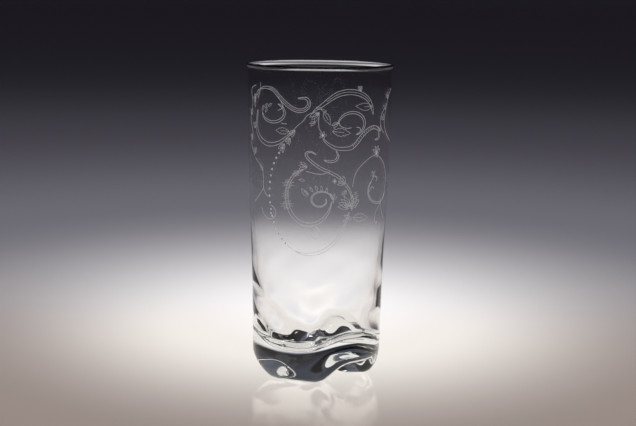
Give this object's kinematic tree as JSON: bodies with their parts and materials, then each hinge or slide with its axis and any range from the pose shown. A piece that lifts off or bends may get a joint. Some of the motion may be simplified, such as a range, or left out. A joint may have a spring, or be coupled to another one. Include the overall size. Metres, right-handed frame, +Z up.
{
  "type": "highball glass",
  "caption": "Tall clear tumbler with a beaded lip, a gently tapered wall, a thick heel and a heavy base that stands on rounded feet with arches between them.",
  "frame": {"origin": "on the table under the middle of the glass", "axes": "+Z up along the axis of the glass, -Y towards the broad foot"},
  "size_m": [0.0706, 0.0706, 0.15],
  "materials": {
    "clear_glass": "gloss",
    "etched_frost": "matte"
  },
  "bodies": {
    "root": {"lip_bead": "clear_glass", "side_wall": "clear_glass", "heel": "clear_glass", "base": "clear_glass", "foot_front": "clear_glass", "foot_right": "clear_glass", "foot_left": "clear_glass"}
  },
  "joints": []
}
